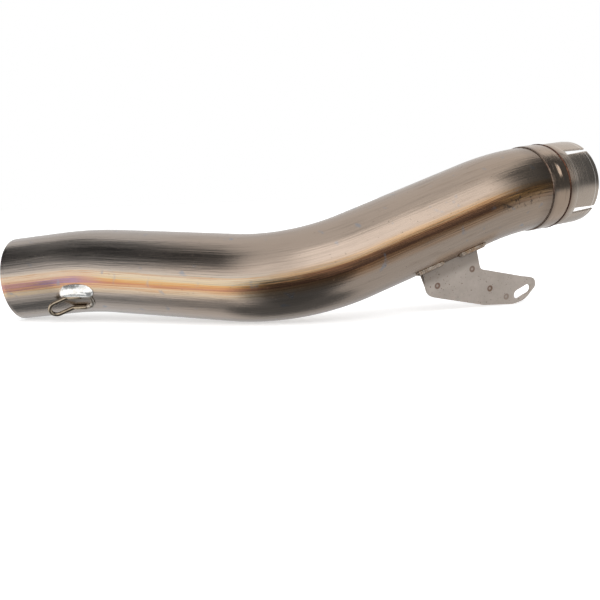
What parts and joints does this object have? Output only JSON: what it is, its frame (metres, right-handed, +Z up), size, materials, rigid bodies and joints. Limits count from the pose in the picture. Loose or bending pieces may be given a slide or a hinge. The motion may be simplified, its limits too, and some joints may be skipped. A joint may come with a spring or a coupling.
{
  "type": "exhaust link pipe",
  "caption": "Bent steel exhaust pipe for a motorcycle, with a slotted clamp collar, a flat mounting bracket and a wire spring hook.",
  "frame": {"origin": "under the middle of the pipe's box, on the surface that the pipe lies on", "axes": "+X along the pipe from inlet to outlet, +Z up as the pipe lies at rest, +Y away from the side that the bracket's flat face shows"},
  "size_m": [0.4385, 0.1488, 0.1159],
  "materials": {
    "tube_steel": "satin, heat-tinted and scuffed",
    "collar_steel": "satin, darkened by heat",
    "plate_steel": "matte, pitted",
    "weld_metal": "heat-tinted weld bead",
    "bright_weld": "bright, smooth weld bead",
    "wire_steel": "satin wire"
  },
  "bodies": {
    "root": {"tube_inlet": "tube_steel", "tube_middle_run": "tube_steel", "tube_main_bend": "tube_steel", "tube_bracket_run": "tube_steel", "tube_outlet_bend": "tube_steel", "joining_sleeve": "tube_steel", "slotted_collar": "collar_steel", "sleeve_weld": "weld_metal", "collar_weld": "weld_metal", "bracket_front_plate": "plate_steel", "bracket_back_plate": "plate_steel", "front_stitch_inlet": "weld_metal", "front_stitch_outlet": "weld_metal", "back_stitch_inlet": "weld_metal", "back_stitch_outlet": "weld_metal", "spring_hook": "wire_steel", "hook_weld": "bright_weld"}
  },
  "joints": []
}
